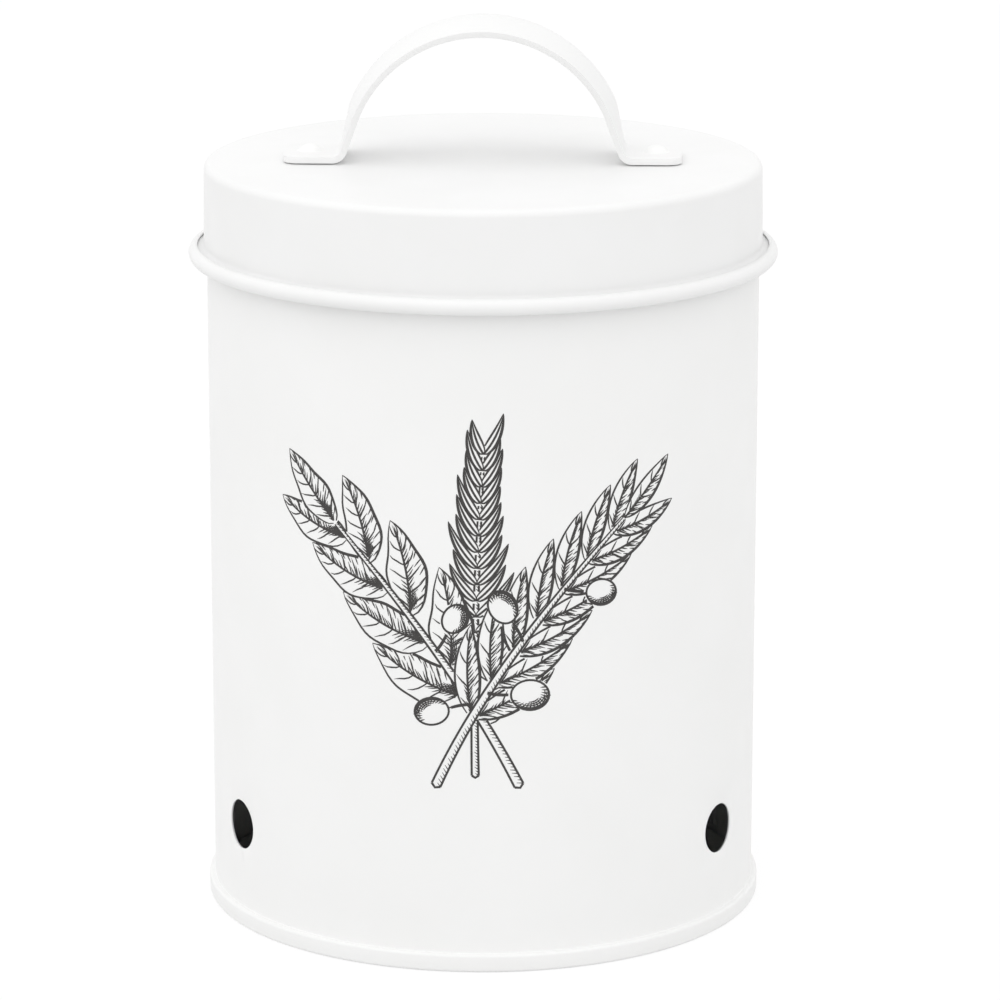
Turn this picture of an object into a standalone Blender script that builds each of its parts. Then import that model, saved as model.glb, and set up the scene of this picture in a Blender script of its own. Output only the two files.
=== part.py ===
# Garlic keeper: a vented canister of white coated sheet steel. A slip lid with a curled edge fits over
# its mouth, and a strap handle is riveted to the lid.
# Metres, +Z up. The origin is the centre of the base, on the surface that the canister stands on.
# The print and the reader's side face -Y, and the handle runs along X.

import math

import bmesh
import bpy
from mathutils import Matrix, Vector

# Sheet metal that every pressed piece shares
sheet = 0.0004              # steel with its coating on both faces
fit_gap = 0.0003            # gap between pieces that touch
round_facets = 60           # flats around the canister
bend_facet = math.radians(46)   # largest turn between two points of a bend
shown_facet = math.radians(31)  # the same, on the bends that show most
seat_facet = math.radians(23)   # the same, where the rim of the wall bears in the lid

# Canister wall, the hem at its mouth and its vents
body_radius = 0.0650        # outside of the straight wall
wall_height = 0.1773        # top of the hem above the surface
mouth_depth = 0.0200        # height over which the wall closes in to take the lid
mouth_draft = 0.0004        # how much it closes in
rim_hem = 0.0036            # height of the hem folded inwards at the mouth
vent_radius = 0.0059
vent_height = 0.0245
vent_count = 3
vent_spread = math.radians(120)
vent_first = math.radians(-60)  # from the front, towards +X
vent_facets = 24

# Lock seam that joins the two ends of the rolled wall, folded to the inside
seam_width = 0.0045
seam_bearing = math.radians(120)    # from the front, midway between two vents
seam_clearance = 0.0012     # to the base pan below and to the hem above
seam_facets = 3

# Base pan, whose rim is folded up round the foot of the wall as a chime
chime_height = 0.0043
chime_bend = 0.0006         # middle of the sheet, at the foot of the chime
chime_lip_bend = 0.0005     # middle of the sheet, at the top of the chime
base_recess = 0.0032        # underside of the pan above the surface
base_bend = 0.0012
panel_radius = 0.0520       # stiffening step pressed into the pan
panel_step = 0.0009
panel_slope = math.radians(35)

# Lid, whose skirt slips over the wall and ends in an open curl
lid_height = 0.0233         # to the flat top, from the foot of the circle that the curl follows
lid_edge = 0.0018           # outside radius between the top and the skirt
lid_draft = 0.00025         # how much the skirt closes in towards the top
slip_clearance = 0.0003     # between the foot of the skirt and the wall
curl_radius = 0.00185       # outside of the curl
curl_offset = 0.00175       # from the outside of the skirt out to the centre of the curl
curl_heel = 0.00035         # middle of the sheet, at the foot of the curl
curl_end = math.radians(95)     # where the raw edge ends, on top of the curl and over the ledge
ledge_bend = 0.00175        # middle of the sheet, where the skirt sweeps out into the ledge
ledge_fold = 0.00035        # middle of the sheet, where the ledge turns down into the curl

# Strap handle
strap_thickness = 0.0015
grip_width = 0.0250         # over the top of the arch
foot_width = 0.0190
grip_inside_radius = 0.0307
grip_clear_height = 0.0303  # from the lid up to the underside of the strap
grip_crown = 0.0020         # rise of the middle of the strap above its edges
crown_full_share = 0.40     # share of the height where the crown is full
leg_lean = math.radians(20)
foot_bend_inside = 0.0022
foot_reach = 0.0465         # from the middle of the lid to the end of a foot
foot_corner = 0.0035
strap_edge = 0.00035        # rounding of the strap's long edges
strap_strips = 6
arch_facet = math.radians(6.2)
foot_bend_facet = math.radians(16)
foot_corner_facet = math.radians(31)

# Rivets that hold the two feet
rivet_reach = 0.0405        # from the middle of the lid
rivet_shank_radius = 0.0015
rivet_head_radius = 0.0028
rivet_head_rim = 0.0003
rivet_head_rise = 0.0010    # dome above the rim
rivet_tail_radius = 0.0023
rivet_tail_height = 0.0009
rivet_tail_round = 0.0004
rivet_facets = 20
rivet_dome_facet = math.radians(11)

cut_overrun = 0.0030        # how far every cutter runs past what it cuts
merge_distance = 0.000001

# Radii and heights worked out from the sizes above
wall_inside_radius = body_radius - sheet
chime_radius = body_radius + 2 * (fit_gap + sheet)
pan_floor = base_recess + sheet
fold = (fit_gap + sheet) / 2    # middle of the sheet, round the turn of an open hem or hook
rim_radius = fold + sheet / 2   # outside of the turn
rim_centre = (body_radius - mouth_draft - rim_radius, wall_height - rim_radius)
lid_radius = body_radius + slip_clearance + sheet
lid_top_radius = lid_radius - lid_draft
lid_corner = (lid_top_radius - lid_edge, lid_height - lid_edge)
curl_centre = (lid_radius + curl_offset, curl_radius)

# The rim of the wall bears in the rounded inside corner of the lid, which sets how high the lid sits
corner_reach = lid_edge - sheet - fit_gap - rim_radius
corner_rise = math.sqrt(corner_reach ** 2 - (rim_centre[0] - lid_corner[0]) ** 2)
lid_seat = rim_centre[1] - corner_rise - lid_corner[1]


def clear_scene():
    """Remove what the file holds, so that the model is all there is."""
    for item in list(bpy.data.objects):
        bpy.data.objects.remove(item, do_unlink=True)


def coated_metal(name, colour, roughness):
    """One painted or plated metal finish, as a Principled material."""
    material = bpy.data.materials.new(name)
    material.use_nodes = True
    shader = material.node_tree.nodes["Principled BSDF"]
    shader.inputs["Base Color"].default_value = (*colour, 1.0)
    shader.inputs["Roughness"].default_value = roughness
    shader.inputs["Metallic"].default_value = 0.0
    return material


def arc(centre, radius, start, end, largest_turn=bend_facet):
    """Points along a round stretch, from one angle to another, both ends included."""
    steps = max(1, math.ceil(abs(end - start) / largest_turn))
    angles = [start + (end - start) * step / steps for step in range(steps + 1)]
    return [(centre[0] + radius * math.cos(a), centre[1] + radius * math.sin(a)) for a in angles]


def sheet_outline(path, thickness):
    """Outline of a bent sheet, half its thickness to each side of the path along its middle."""
    points = [Vector(point) for point in path]
    left, right = [], []
    for index, point in enumerate(points):
        before = (point - points[index - 1]).normalized() if index > 0 else None
        after = (points[index + 1] - point).normalized() if index < len(points) - 1 else None
        before = before or after
        after = after or before
        along = (before + after).normalized()
        reach = thickness / 2 / along.dot(after)
        side = Vector((-along.y, along.x)) * reach
        left.append(point + side)
        right.append(point - side)
    return left + right[::-1]


def finish_mesh(name, shape, material, parent):
    """Turn a finished bmesh into a smooth-shaded object with its own material."""
    mesh = bpy.data.meshes.new(name)
    bmesh.ops.recalc_face_normals(shape, faces=shape.faces)
    shape.to_mesh(mesh)
    shape.free()
    mesh.materials.append(material)
    mesh.shade_smooth()
    mesh.set_sharp_from_angle(angle=math.radians(40))
    item = bpy.data.objects.new(name, mesh)
    bpy.context.scene.collection.objects.link(item)
    item.parent = parent
    return item


def turned(name, outline, facets, material, parent):
    """Spin a closed outline of (radius, height) points once round the Z axis."""
    shape = bmesh.new()
    ring = [shape.verts.new((point[0], 0.0, point[1])) for point in outline]
    edges = [shape.edges.new((ring[i - 1], ring[i])) for i in range(len(ring))]
    bmesh.ops.spin(
        shape,
        geom=ring + edges,
        cent=(0.0, 0.0, 0.0),
        axis=(0.0, 0.0, 1.0),
        angle=math.tau,
        steps=facets,
        use_merge=True,
        use_duplicate=False,
    )
    bmesh.ops.remove_doubles(shape, verts=shape.verts, dist=merge_distance)
    bmesh.ops.dissolve_degenerate(shape, edges=shape.edges, dist=merge_distance)
    loose = [edge for edge in shape.edges if not edge.link_faces]
    bmesh.ops.delete(shape, geom=loose, context="EDGES")
    return finish_mesh(name, shape, material, parent)


def drilling(name, radius, length, facets, placing, parent):
    """A round cutter along its own Z axis, left out of the model."""
    shape = bmesh.new()
    bmesh.ops.create_cone(
        shape, cap_ends=True, segments=facets, radius1=radius, radius2=radius, depth=length, matrix=placing
    )
    return guide(name, shape, parent)


def guide(name, shape, parent):
    """An object that only cuts or joins, hidden from renders."""
    mesh = bpy.data.meshes.new(name)
    bmesh.ops.recalc_face_normals(shape, faces=shape.faces)
    shape.to_mesh(mesh)
    shape.free()
    item = bpy.data.objects.new(name, mesh)
    bpy.context.scene.collection.objects.link(item)
    item.parent = parent
    item.hide_render = True
    item.display_type = "WIRE"
    return item


def combine(item, tool, operation):
    """Boolean one piece with a guide, and keep the modifier on the piece."""
    modifier = item.modifiers.new(tool.name, "BOOLEAN")
    modifier.object = tool
    modifier.operation = operation
    modifier.solver = "EXACT"


def group(name, height):
    """An empty that carries the pieces of one moving body."""
    carrier = bpy.data.objects.new(name, None)
    carrier.location = (0.0, 0.0, height)
    bpy.context.scene.collection.objects.link(carrier)
    return carrier


def wall_path():
    """Middle of the wall's sheet: hook in the chime, straight wall, mouth and hem."""
    wall = body_radius - sheet / 2
    hook_top = chime_height - chime_lip_bend - sheet / 2 - fit_gap
    path = [(wall + 2 * fold, hook_top)]
    path += arc((wall + fold, sheet + fit_gap + fold + sheet / 2), fold, 0.0, -math.pi)
    path += [(wall, wall_height - mouth_depth)]
    path += arc(rim_centre, fold, 0.0, math.pi)
    path += [(rim_centre[0] - fold, wall_height - rim_hem)]
    return path


def seam_fold(parent):
    """The folded seam, a strip bent to the inside of the wall and sunk half a sheet into it."""
    low = pan_floor + seam_clearance
    mouth = wall_height - mouth_depth
    high = wall_height - rim_hem - seam_clearance
    closing = mouth_draft * (high - mouth) / (rim_centre[1] - mouth)
    spread = seam_width / body_radius
    first = seam_bearing - spread / 2
    angles = [first + spread * step / seam_facets for step in range(seam_facets + 1)]
    shape = bmesh.new()
    layers = []
    for height, shift in ((low, 0.0), (mouth, 0.0), (high, closing)):
        inner = wall_inside_radius - 2 * sheet - shift
        outer = wall_inside_radius + sheet / 2 - shift
        corners = [(inner, a) for a in angles] + [(outer, a) for a in reversed(angles)]
        layers.append(
            [shape.verts.new((radius * math.sin(a), -radius * math.cos(a), height)) for radius, a in corners]
        )
    for below, above in zip(layers, layers[1:]):
        for index in range(len(below)):
            shape.faces.new((below[index - 1], below[index], above[index], above[index - 1]))
    shape.faces.new(layers[0])
    shape.faces.new(layers[-1])
    return guide("seam_fold", shape, parent)


def make_body_wall(parent):
    """The rolled wall, with its seam folded inside and its vents punched through."""
    material = coated_metal("wall_coat", (0.90, 0.90, 0.89), 0.45)
    wall = turned("body_wall", sheet_outline(wall_path(), sheet), round_facets, material, parent)
    combine(wall, seam_fold(parent), "UNION")
    for index in range(vent_count):
        bearing = vent_first + vent_spread * index
        outward = Vector((math.sin(bearing), -math.cos(bearing), 0.0))
        centre = outward * (body_radius - sheet / 2) + Vector((0.0, 0.0, vent_height))
        placing = Matrix.Translation(centre) @ outward.to_track_quat("Z", "Y").to_matrix().to_4x4()
        name = f"vent_cutter_{index + 1}"
        cutter = drilling(name, vent_radius, sheet + 2 * cut_overrun, vent_facets, placing, parent)
        combine(wall, cutter, "DIFFERENCE")
    return wall


def make_base_pan(parent):
    """The pressed base, folded under the wall and up round its hook."""
    riser = body_radius - sheet - fit_gap - sheet / 2
    skin = chime_radius - sheet / 2
    floor = base_recess + sheet / 2
    step_bend = panel_step / 2 / (1 - math.cos(panel_slope))
    step_run = step_bend * math.sin(panel_slope)
    quarter = math.pi / 2
    path = [(0.0, floor + panel_step)]
    path += arc(
        (panel_radius - step_run, floor + panel_step - step_bend), step_bend, quarter, quarter - panel_slope
    )
    path += arc(
        (panel_radius + step_run, floor + step_bend), step_bend, -quarter - panel_slope, -quarter
    )[1:]
    path += arc((riser - base_bend, floor - base_bend), base_bend, quarter, 0.0)
    path += arc((riser + chime_bend, sheet / 2 + chime_bend), chime_bend, -math.pi, -quarter)
    path += arc((skin - chime_bend, sheet / 2 + chime_bend), chime_bend, -quarter, 0.0)
    lip_centre = (skin - chime_lip_bend, chime_height - sheet / 2 - chime_lip_bend)
    path += arc(lip_centre, chime_lip_bend, 0.0, quarter)
    path += [(body_radius + fit_gap, chime_height - sheet / 2)]
    material = coated_metal("base_coat", (0.89, 0.89, 0.88), 0.45)
    return turned("base_pan", sheet_outline(path, sheet), round_facets, material, parent)


def rivet_holes(item, label, middle, parent):
    """Punch the two rivet holes through a piece, at the height of its sheet's middle."""
    for side, name in ((-1, "left"), (1, "right")):
        placing = Matrix.Translation((side * rivet_reach, 0.0, middle))
        cutter = drilling(
            f"{label}_cutter_{name}",
            rivet_shank_radius + fit_gap,
            strap_thickness + 2 * cut_overrun,
            rivet_facets,
            placing,
            parent,
        )
        combine(item, cutter, "DIFFERENCE")


def lid_path():
    """Middle of the lid's sheet: flat top, soft edge, skirt, ledge and curl."""
    quarter = math.pi / 2
    skirt = lid_radius - sheet / 2
    ledge = 2 * curl_radius - sheet - fit_gap - sheet / 2
    ledge_end = skirt + ledge_bend
    curl = curl_radius - sheet / 2
    heel_x = ledge_end + ledge_fold + curl_heel
    heel_turn = math.acos((heel_x - curl_centre[0]) / (curl - curl_heel))
    heel_z = curl_centre[1] - (curl - curl_heel) * math.sin(heel_turn)
    path = [(0.0, lid_height - sheet / 2)]
    path += arc(lid_corner, lid_edge - sheet / 2, quarter, 0.0, seat_facet)
    path += arc((ledge_end, ledge + ledge_bend), ledge_bend, math.pi, math.pi + quarter, shown_facet)
    path += arc((ledge_end, ledge - ledge_fold), ledge_fold, quarter, 0.0)[1:]
    path += arc((heel_x, heel_z), curl_heel, math.pi, math.tau - heel_turn)
    path += arc(curl_centre, curl, -heel_turn, curl_end, shown_facet)[1:]
    return path


def make_lid_shell(parent):
    """The drawn lid, with a ledge and a curled edge at the foot of its skirt."""
    material = coated_metal("lid_coat", (0.90, 0.90, 0.89), 0.45)
    lid = turned("lid_shell", sheet_outline(lid_path(), sheet), round_facets, material, parent)
    rivet_holes(lid, "lid_hole", lid_height, parent)
    return lid


def strap_stations():
    """Half of the strap's path, from the top of the arch to the end of a foot.

    Each station holds a place along X, a height, the direction that faces away
    from the grip, and half of the strap's width there.
    """
    middle = strap_thickness / 2
    radius = grip_inside_radius + middle
    centre = (0.0, lid_height + grip_clear_height - grip_inside_radius)
    foot = lid_height + fit_gap + middle
    bend = foot_bend_inside + middle
    places = arc(centre, radius, math.pi / 2, leg_lean, arch_facet)
    facing = [math.atan2(z - centre[1], x) for x, z in places]
    leg_x, leg_z = places[-1]
    corner_x = leg_x + (leg_z - foot) * math.tan(leg_lean)
    flat_start = corner_x + bend * math.tan((math.pi / 2 - leg_lean) / 2)
    turn = arc((flat_start, foot + bend), bend, math.pi + leg_lean, 1.5 * math.pi, foot_bend_facet)
    places += turn
    facing += [math.atan2(foot + bend - z, flat_start - x) for x, z in turn]
    flat_end = foot_reach - foot_corner
    rounding = arc((flat_end, 0.0), foot_corner, math.pi / 2, 0.0, foot_corner_facet)
    places += [(x, foot) for x, _ in rounding]
    facing += [math.pi / 2] * len(rounding)
    full = foot_width / 2
    halves = [None] * (len(places) - len(rounding)) + [full - foot_corner + y for _, y in rounding]
    top = centre[1] + radius
    stations = []
    for (x, z), angle, half in zip(places, facing, halves):
        rise = (z - foot) / (top - foot)
        eased = rise * rise * (3 - 2 * rise)
        half = half if half is not None else full + (grip_width - foot_width) / 2 * eased
        crown = grip_crown * min(1.0, rise / crown_full_share)
        stations.append((x, z, angle, half, crown))
    return stations


def make_handle_strap(parent):
    """The strap: a crowned strip, arched for the hand, with a flat riveted foot at each end."""
    right = strap_stations()
    left = [(-x, z, math.pi - angle, half, crown) for x, z, angle, half, crown in right[1:]]
    shape = bmesh.new()
    rows = []
    for x, z, angle, half, crown in reversed(left):
        rows.append((x, z, angle, half, crown))
    rows += right
    grid = []
    for x, z, angle, half, crown in rows:
        row = []
        for strip in range(strap_strips + 1):
            across = 2 * strip / strap_strips - 1
            lift = crown * (1 - across * across)
            row.append(shape.verts.new((x + lift * math.cos(angle), half * across, z + lift * math.sin(angle))))
        grid.append(row)
    for near, far in zip(grid, grid[1:]):
        for strip in range(strap_strips):
            shape.faces.new((near[strip], far[strip], far[strip + 1], near[strip + 1]))
    material = coated_metal("strap_coat", (0.90, 0.90, 0.89), 0.45)
    strap = finish_mesh("handle_strap", shape, material, parent)
    thicken = strap.modifiers.new("thickness", "SOLIDIFY")
    thicken.thickness = strap_thickness
    thicken.offset = 0.0
    thicken.use_even_offset = True
    soften = strap.modifiers.new("edge", "BEVEL")
    soften.width = strap_edge
    soften.segments = 1
    soften.limit_method = "ANGLE"
    soften.angle_limit = math.radians(60)
    rivet_holes(strap, "foot_hole", lid_height + fit_gap + strap_thickness / 2, parent)
    return strap


def make_rivet(name, side, parent):
    """One domed rivet through a foot and the lid, clenched under the lid."""
    under_head = lid_height + fit_gap + strap_thickness + fit_gap
    over_tail = lid_height - sheet - fit_gap
    rim = under_head + rivet_head_rim
    dome = (rivet_head_radius ** 2 + rivet_head_rise ** 2) / (2 * rivet_head_rise)
    dome_centre = (0.0, rim + rivet_head_rise - dome)
    dome_start = math.acos(rivet_head_radius / dome)
    bottom = over_tail - rivet_tail_height
    outline = arc(dome_centre, dome, math.pi / 2, dome_start, rivet_dome_facet)
    outline[0] = (0.0, rim + rivet_head_rise)
    outline += [
        (rivet_head_radius, under_head),
        (rivet_shank_radius, under_head),
        (rivet_shank_radius, over_tail),
        (rivet_tail_radius, over_tail),
        (rivet_tail_radius, bottom + rivet_tail_round),
        (rivet_tail_radius - rivet_tail_round, bottom),
        (0.0, bottom),
    ]
    material = coated_metal(f"{name}_coat", (0.90, 0.90, 0.89), 0.40)
    rivet = turned(name, outline, rivet_facets, material, parent)
    rivet.location = (side * rivet_reach, 0.0, 0.0)
    return rivet


clear_scene()
canister = group("canister", 0.0)
make_body_wall(canister)
make_base_pan(canister)
lid = group("lid", lid_seat)
make_lid_shell(lid)
make_handle_strap(lid)
make_rivet("rivet_left", -1, lid)
make_rivet("rivet_right", 1, lid)
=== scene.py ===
# Garlic keeper: a vented canister of white coated sheet steel, with a slip lid that lifts off.
# Metres, +Z up. The printed side faces -Y, and the strap handle runs along X.

import cmath
import math
import random

import bmesh
import bpy
from mathutils import Matrix, Vector


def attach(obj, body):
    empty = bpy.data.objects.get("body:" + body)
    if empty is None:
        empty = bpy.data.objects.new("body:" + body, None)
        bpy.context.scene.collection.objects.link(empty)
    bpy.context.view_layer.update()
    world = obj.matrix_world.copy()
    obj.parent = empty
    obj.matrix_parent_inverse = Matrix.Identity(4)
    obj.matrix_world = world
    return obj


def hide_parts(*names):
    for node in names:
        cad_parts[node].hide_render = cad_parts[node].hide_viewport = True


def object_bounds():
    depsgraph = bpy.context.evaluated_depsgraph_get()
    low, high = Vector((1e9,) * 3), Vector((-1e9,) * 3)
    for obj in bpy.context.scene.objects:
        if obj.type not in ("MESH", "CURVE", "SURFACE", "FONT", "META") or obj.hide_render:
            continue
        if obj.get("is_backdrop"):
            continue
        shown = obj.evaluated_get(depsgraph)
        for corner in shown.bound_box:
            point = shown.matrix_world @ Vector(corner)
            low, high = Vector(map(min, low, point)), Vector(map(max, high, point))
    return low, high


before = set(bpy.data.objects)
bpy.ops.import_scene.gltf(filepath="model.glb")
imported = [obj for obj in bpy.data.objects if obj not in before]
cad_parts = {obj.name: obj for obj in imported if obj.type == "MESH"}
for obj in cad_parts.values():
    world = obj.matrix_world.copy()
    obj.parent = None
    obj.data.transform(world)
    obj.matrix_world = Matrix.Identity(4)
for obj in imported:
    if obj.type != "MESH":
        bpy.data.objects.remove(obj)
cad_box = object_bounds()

# Camera
# It stands about 1.2 m off, a little above the lid, and looks down by 14 degrees.
# A long lens keeps the canister's sides nearly upright, as in the photograph.
camera_place = (0.0310, -1.1091, 0.3772)
camera_tilt = math.radians(14.244)
camera_turn = math.radians(1.404)
camera_roll = math.radians(-0.033)
camera_lens = 172.62
sensor_width = 36.0


def placed(name, data):
    """A new object with its data, in the scene."""
    item = bpy.data.objects.new(name, data)
    bpy.context.scene.collection.objects.link(item)
    return item


camera_data = bpy.data.cameras.new("photo_camera")
camera_data.lens = camera_lens
camera_data.sensor_width = sensor_width
camera = placed("photo_camera", camera_data)
camera.location = camera_place
camera.rotation_euler = (math.radians(90) - camera_tilt, camera_roll, camera_turn)
bpy.context.scene.camera = camera

# Table and light
# The canister stands on a pale table top that runs on as the background, and its contact
# shadow stays on it. The light comes evenly from all round, a little stronger from low down,
# as in a light tent, with one wide soft lamp above the camera and a little to its left.
table_half = 6.0
table_drop = 0.00005            # keeps the table clear of the resting ring's own faces
table_paint = (0.76, 0.76, 0.76, 1.0)
table_shown_share = 0.85        # how much of what the camera sees of the table is plain white
table_shown_white = 1.05        # brings the open table up to white, so that only its shadow shows
low_strength = 1.19
top_strength = 0.87
plain_white = (1.0, 1.0, 1.0, 1.0)
lamp_power = 6.8
lamp_size = 2.2
lamp_place = (-0.30, -0.62, 1.70)
lamp_aim = (0.0, 0.0, 0.12)

bpy.context.scene.view_settings.view_transform = "Standard"


def fill(tree, node, inputs):
    """Link or set a node's inputs, each given by its name or number."""
    for name, value in inputs.items():
        if isinstance(value, bpy.types.NodeSocket):
            tree.links.new(value, node.inputs[name])
        else:
            node.inputs[name].default_value = value


def add_node(tree, kind, inputs, output=0):
    """Add a node with these inputs, and give one of its outputs."""
    node = tree.nodes.new(kind)
    fill(tree, node, inputs)
    return node.outputs[output]


def worked_out(tree, operation, *values, kind="ShaderNodeMath"):
    """What an operation makes of sockets and numbers."""
    node = tree.nodes.new(kind)
    node.operation = operation
    fill(tree, node, dict(enumerate(values)))
    return node.outputs[0]


def ranged(tree, value, least, most, edges=(0.0, 1.0)):
    """What runs from least to most as a value rises from one edge to the other."""
    inputs = {"Value": value, "From Min": edges[0], "From Max": edges[1], "To Min": least, "To Max": most}
    return add_node(tree, "ShaderNodeMapRange", inputs, "Result")


def seen_directly(tree):
    """1 where the camera, a reflection or a clear view meets the surface, else 0."""
    path = tree.nodes.new("ShaderNodeLightPath").outputs
    either = worked_out(tree, "MAXIMUM", path["Is Camera Ray"], path["Is Glossy Ray"])
    return worked_out(tree, "MAXIMUM", either, path["Is Transmission Ray"])


def emptied(owner):
    """The node tree of a world or a material, without its nodes."""
    owner.use_nodes = True
    owner.node_tree.nodes.clear()
    return owner.node_tree


def put_out(tree, kind, share, lit, shown):
    """End a tree in a mix of the shader that gives light and the one that is shown."""
    mix = add_node(tree, "ShaderNodeMixShader", {0: share, 1: lit, 2: shown})
    fill(tree, tree.nodes.new(kind), {"Surface": mix})


sky = bpy.data.worlds.new("studio")
sky_tree = emptied(sky)
sky_place = add_node(sky_tree, "ShaderNodeTexCoord", {}, "Generated")
sky_height = add_node(sky_tree, "ShaderNodeSeparateXYZ", {0: sky_place}, "Z")
sky_strength = ranged(sky_tree, sky_height, low_strength, top_strength)
sky_lit = add_node(sky_tree, "ShaderNodeBackground", {"Color": plain_white, "Strength": sky_strength})
sky_shown = add_node(sky_tree, "ShaderNodeBackground", {"Color": plain_white, "Strength": 1.0})
put_out(sky_tree, "ShaderNodeOutputWorld", seen_directly(sky_tree), sky_lit, sky_shown)
bpy.context.scene.world = sky

table_material = bpy.data.materials.new("table_paint")
table_tree = emptied(table_material)
table_share = worked_out(table_tree, "MULTIPLY", seen_directly(table_tree), table_shown_share)
table_lit = add_node(table_tree, "ShaderNodeBsdfDiffuse", {"Color": table_paint})
table_glow = {"Color": plain_white, "Strength": table_shown_white}
table_shown = add_node(table_tree, "ShaderNodeEmission", table_glow)
put_out(table_tree, "ShaderNodeOutputMaterial", table_share, table_lit, table_shown)

table_signs = [(-1, -1), (1, -1), (1, 1), (-1, 1)]
table_corners = [(x * table_half, y * table_half, -table_drop) for x, y in table_signs]
table_mesh = bpy.data.meshes.new("table_top")
table_mesh.from_pydata(table_corners, [], [range(len(table_corners))])
table_mesh.materials.append(table_material)
table_top = placed("table_top", table_mesh)
table_top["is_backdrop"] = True

lamp_data = bpy.data.lights.new("soft_lamp", "AREA")
lamp_data.energy = lamp_power
lamp_data.shape = "DISK"
lamp_data.size = lamp_size
lamp = placed("soft_lamp", lamp_data)
lamp.location = lamp_place
lamp.rotation_euler = (Vector(lamp_place) - Vector(lamp_aim)).to_track_quat("Z", "Y").to_euler()

# Canister wall
# A sheet of steel rolled into a tube and joined by a folded seam inside. Its foot hooks into the base,
# its mouth closes in a little and ends in a hem folded inwards, and three vents are punched near the foot.
# It is coated with white powder inside and out.
sheet = 0.0004
fit_gap = 0.0003
flats_around = 240
weld_distance = 0.000001
body_radius = 0.0650
wall_height = 0.1773
mouth_depth = 0.0200
mouth_draft = 0.0004
rim_hem = 0.0036
chime_height = 0.0043
chime_lip_bend = 0.0005
base_recess = 0.0032
vent_radius = 0.0059
vent_height = 0.0245
vent_count = 3
vent_spread = math.radians(120)
vent_first = math.radians(-60)
vent_facets = 72
vent_rounding = 0.00013         # where the punch drew the sheet in, and the coating settled
vent_rounding_steps = 3
cut_overrun = 0.0030
seam_width = 0.0045
seam_bearing = math.radians(120)
seam_clearance = 0.0012
seam_steps = 8
fine_turn = math.radians(10)    # largest turn between two points of a bend
coat_white = (0.90, 0.90, 0.895)
coat_worn_shares = (0.985, 0.985, 0.983)    # the coat's least white, as shares of its white
coat_ior = 1.5
coat_roughness = (0.40, 0.52)
cloud_scale = 38.0              # waves per metre of the uneven white
cloud_detail = 3.0
cloud_edges = (0.35, 0.65)
sheen_scale = 120.0             # of the uneven gloss
sheen_detail = 4.0
sheen_edges = (0.3, 0.7)
peel_scale = 620.0              # of the orange peel
peel_detail = 1.0
peel_strength = 0.5
peel_depth = 0.000012
grit_scale = 2600.0             # of the powder's own grain
grit_detail = 2.0
grit_strength = 0.4
grit_depth = 0.000004
rounding_limit = math.radians(60)   # edges sharper than this are rounded
smooth_limit = math.radians(38)     # edges flatter than this are shaded smooth

fold = (fit_gap + sheet) / 2
rim_radius = fold + sheet / 2
rim_centre = (body_radius - mouth_draft - rim_radius, wall_height - rim_radius)
wall_inside_radius = body_radius - sheet
pan_floor = base_recess + sheet


def arc(centre, radius, start, end, largest_turn=fine_turn):
    """Points along a round stretch, both ends included."""
    steps = max(1, math.ceil(abs(end - start) / largest_turn))
    angles = [start + (end - start) * step / steps for step in range(steps + 1)]
    return [(centre[0] + radius * math.cos(a), centre[1] + radius * math.sin(a)) for a in angles]


def sheet_outline(path, thickness):
    """Outline of a bent sheet, half its thickness to each side of the path along its middle."""
    points = [Vector(point) for point in path]
    left, right = [], []
    for index, point in enumerate(points):
        before = (point - points[index - 1]).normalized() if index > 0 else None
        after = (points[index + 1] - point).normalized() if index < len(points) - 1 else None
        before = before or after
        after = after or before
        along = (before + after).normalized()
        reach = thickness / 2 / along.dot(after)
        side = Vector((-along.y, along.x)) * reach
        left.append(point + side)
        right.append(point - side)
    return left + right[::-1]


def new_material(name):
    """A material, its node tree, and where the points of the object lie in it."""
    material = bpy.data.materials.new(name)
    material.use_nodes = True
    return material, material.node_tree, add_node(material.node_tree, "ShaderNodeTexCoord", {}, "Object")


def noise(tree, place, scale, detail):
    """Noise with so many waves per metre."""
    return add_node(tree, "ShaderNodeTexNoise", {"Vector": place, "Scale": scale, "Detail": detail}, "Fac")


def tinted(tree, grain, edges, colours):
    """A colour that runs from the first to the second as a noise rises between its edges."""
    ramp = tree.nodes.new("ShaderNodeValToRGB")
    for stop, edge, colour in zip(ramp.color_ramp.elements, edges, colours):
        stop.position = edge
        stop.color = (*colour, 1.0)
    fill(tree, ramp, {"Fac": grain})
    return ramp.outputs["Color"]


def bumped(tree, grain, strength, depth, **below):
    """Relief that follows a noise, on top of what is below it."""
    inputs = {"Height": grain, "Strength": strength, "Distance": depth, **below}
    return add_node(tree, "ShaderNodeBump", inputs)


def powder_coat(name, white, gloss_share=1.0):
    """White satin powder coat: a faint orange peel, uneven gloss and a barely uneven white."""
    coat, tree, place = new_material(name)
    least = [part * share for part, share in zip(white, coat_worn_shares)]
    tint = tinted(tree, noise(tree, place, cloud_scale, cloud_detail), cloud_edges, (least, white))
    sheen = noise(tree, place, sheen_scale, sheen_detail)
    gloss = ranged(tree, sheen, *(part * gloss_share for part in coat_roughness), sheen_edges)
    peel = bumped(tree, noise(tree, place, peel_scale, peel_detail), peel_strength, peel_depth)
    grain = noise(tree, place, grit_scale, grit_detail)
    grit = bumped(tree, grain, grit_strength, grit_depth, Normal=peel)
    looks = {"IOR": coat_ior, "Base Color": tint, "Roughness": gloss, "Normal": grit}
    fill(tree, tree.nodes["Principled BSDF"], looks)
    return coat


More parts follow.
